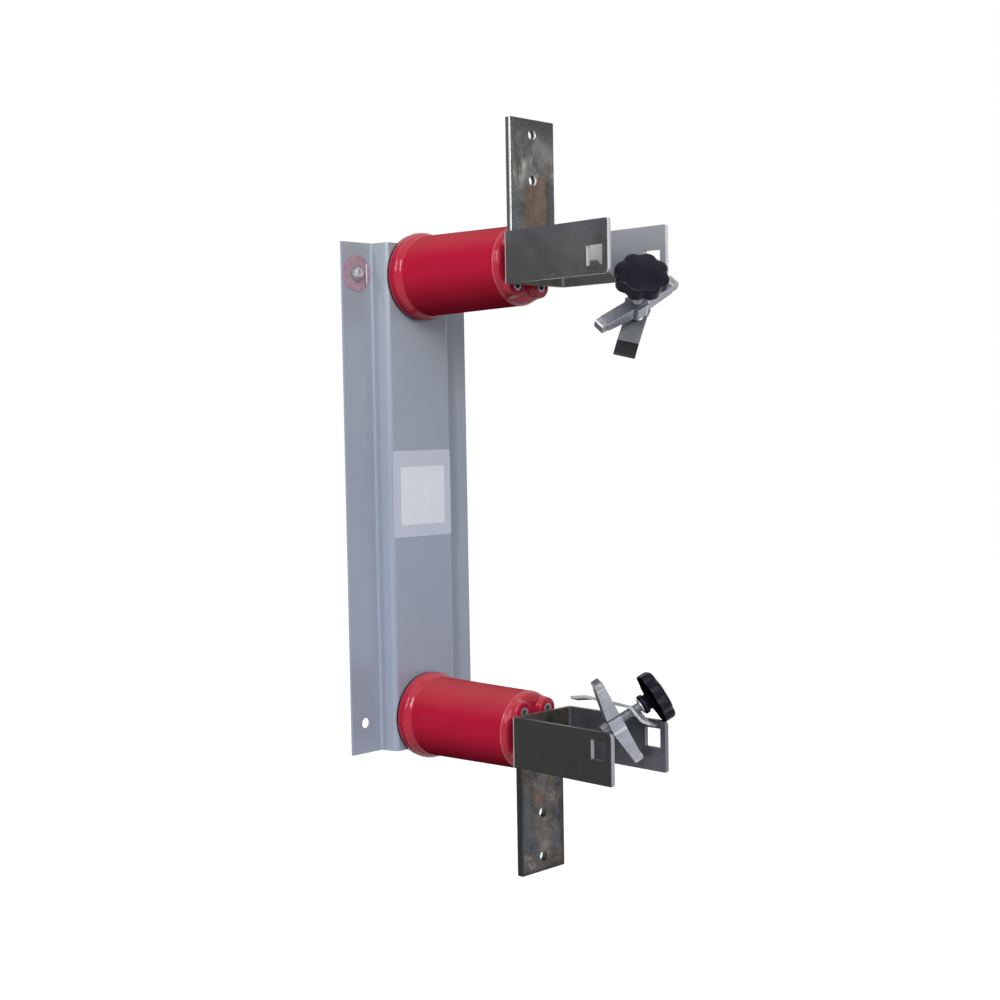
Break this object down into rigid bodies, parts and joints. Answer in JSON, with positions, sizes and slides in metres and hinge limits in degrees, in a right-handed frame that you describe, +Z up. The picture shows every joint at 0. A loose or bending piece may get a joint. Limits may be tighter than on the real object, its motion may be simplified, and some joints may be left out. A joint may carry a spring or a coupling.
{
  "type": "fuse mount",
  "caption": "Wall-mounted holder for a large cylindrical fuse: folded steel base, red standoff insulators, flat terminal pads and U-shaped contact brackets, each with a loose screw clamp",
  "frame": {"origin": "centre of the base's back plane, on the wall", "axes": "+Z up along the base, +X across the base to its right-hand flange as seen from the front, -Y straight out of the wall"},
  "size_m": [0.1778, 0.349, 0.746],
  "materials": {
    "base_paint": "semi-gloss blue-grey powder coat",
    "label_film": "blank satin film",
    "disc_finish": "thin pink primer, rubbed",
    "zinc_steel": "bright zinc plated",
    "insulator_resin": "glossy moulded resin",
    "mill_steel": "dull mill finish with heat tint",
    "cast_alloy": "as cast, slightly rough",
    "knob_plastic": "satin moulded"
  },
  "bodies": {
    "mount": {"base_channel": "base_paint", "rating_label": "label_film", "ground_disc": "disc_finish", "ground_lock_washer": "zinc_steel", "ground_screw": "zinc_steel", "upper_insulator": "insulator_resin", "lower_insulator": "insulator_resin", "upper_inserts": "zinc_steel", "lower_inserts": "zinc_steel", "upper_insulator_bolts": "zinc_steel", "lower_insulator_bolts": "zinc_steel", "upper_terminal_pad": "mill_steel", "lower_terminal_pad": "mill_steel", "upper_bracket": "mill_steel", "lower_bracket": "mill_steel", "upper_bracket_bolts": "zinc_steel", "lower_bracket_bolts": "zinc_steel", "upper_bracket_washers": "zinc_steel", "lower_bracket_washers": "zinc_steel", "upper_clamp_bar": "cast_alloy", "lower_clamp_bar": "cast_alloy", "upper_pressure_strap": "mill_steel", "lower_pressure_strap": "mill_steel"},
    "upper_carriage": {"upper_hub_washer": "zinc_steel"},
    "upper_knob": {"upper_clamp_screw": "zinc_steel", "upper_clamp_knob": "knob_plastic"},
    "lower_carriage": {"lower_hub_washer": "zinc_steel"},
    "lower_knob": {"lower_clamp_screw": "zinc_steel", "lower_clamp_knob": "knob_plastic"}
  },
  "joints": [
    {"name": "upper_screw_travel", "type": "slide", "parent": "mount", "child": "upper_carriage", "axis": [-0.5356, -0.5824, 0.6115], "range_m": [-0.0127, 0.00317]},
    {"name": "upper_knob_turn", "type": "hinge", "parent": "upper_carriage", "child": "upper_knob", "pos_m": [0.0141, -0.30185, 0.184], "axis": [-0.5356, -0.5824, 0.6115], "range_deg": [-2882, 722]},
    {"name": "lower_screw_travel", "type": "slide", "parent": "mount", "child": "lower_carriage", "axis": [0.6898, -0.5293, 0.4939], "range_m": [0, 0.00794]},
    {"name": "lower_knob_turn", "type": "hinge", "parent": "lower_carriage", "child": "lower_knob", "pos_m": [-0.0002, -0.28045, -0.2114], "axis": [0.6898, -0.5293, 0.4939], "range_deg": [0, 1802]}
  ],
  "couplings": [
    {"joint": "upper_knob_turn", "follows": "upper_screw_travel", "rad_per_m": 3957.9},
    {"joint": "lower_knob_turn", "follows": "lower_screw_travel", "rad_per_m": 3957.9}
  ]
}
